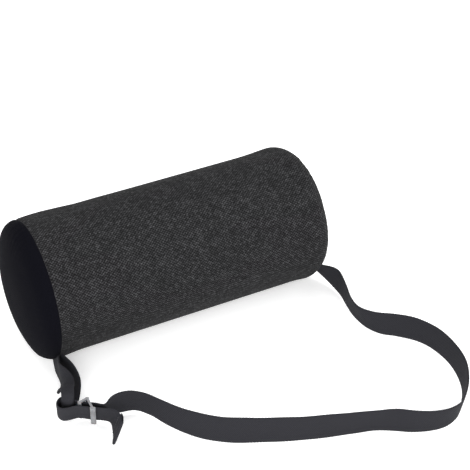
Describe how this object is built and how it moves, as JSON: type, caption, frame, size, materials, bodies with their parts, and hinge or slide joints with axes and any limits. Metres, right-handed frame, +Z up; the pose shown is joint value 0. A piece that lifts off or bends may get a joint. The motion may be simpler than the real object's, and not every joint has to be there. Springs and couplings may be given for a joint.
{
  "type": "lumbar support cushion",
  "caption": "Round lumbar roll: foam core in a zipped fabric cover, with a webbing strap sewn to one end that threads a three-bar buckle and loops through a tab on the other end.",
  "frame": {"origin": "middle of the flat strip on the underside that the roll rests on", "axes": "+X along the roll's axis, from the tab and buckle end to the end where the strap is sewn on; -Y towards the side where the strap lies; +Z up"},
  "size_m": [0.3254, 0.3133, 0.1188],
  "materials": {
    "foam": "open-cell polyurethane foam, matte",
    "body_fabric": "charcoal mesh weave, matte",
    "end_fabric": "navy-black plain knit, matte",
    "seam_fabric": "overlocked fabric edges, matte",
    "webbing": "charcoal ribbed webbing, matte",
    "thread": "polyester thread, satin",
    "buckle_plastic": "light grey moulded acetal, satin",
    "zip_tape": "woven polyester tape, matte",
    "zip_coil": "black nylon coil, satin",
    "zip_metal": "black painted zinc alloy, semi-gloss"
  },
  "bodies": {
    "roll": {"foam_core": "foam", "cover_body": "body_fabric", "cover_cap_left": "end_fabric", "cover_cap_right": "end_fabric", "seam_edge_left": "seam_fabric", "seam_edge_right": "seam_fabric", "zip_tape_upper": "zip_tape", "zip_tape_lower": "zip_tape", "zip_coil_upper": "zip_coil", "zip_coil_lower": "zip_coil", "zip_stop_closed_end": "zip_metal", "zip_stop_open_end": "zip_metal", "strap_root": "webbing", "strap_root_bartack": "thread", "tab_root": "webbing", "tab_root_bartack": "thread"},
    "strap_loop": {"strap": "webbing", "tail_hem_thread": "thread", "tab_loop": "webbing"},
    "buckle": {"buckle": "buckle_plastic"},
    "zip_slider": {"zip_slider": "zip_metal"},
    "zip_pull": {"zip_pull": "zip_metal"}
  },
  "joints": [
    {"name": "strap_lift", "type": "hinge", "parent": "roll", "child": "strap_loop", "pos_m": [0, -0.06, 0.026], "axis": [-1, 0, 0], "range_deg": [0, 55]},
    {"name": "buckle_slide", "type": "slide", "parent": "strap_loop", "child": "buckle", "axis": [0.8627, -0.4981, -0.0872], "range_m": [0, 0.006]},
    {"name": "zip_slide", "type": "slide", "parent": "roll", "child": "zip_slider", "axis": [1, 0, 0], "range_m": [-0.176, 0.006]},
    {"name": "zip_pull_swing", "type": "hinge", "parent": "zip_slider", "child": "zip_pull", "pos_m": [0.086, 0.0632, 0.05879], "axis": [0, 0, 1], "range_deg": [0, 180]}
  ]
}
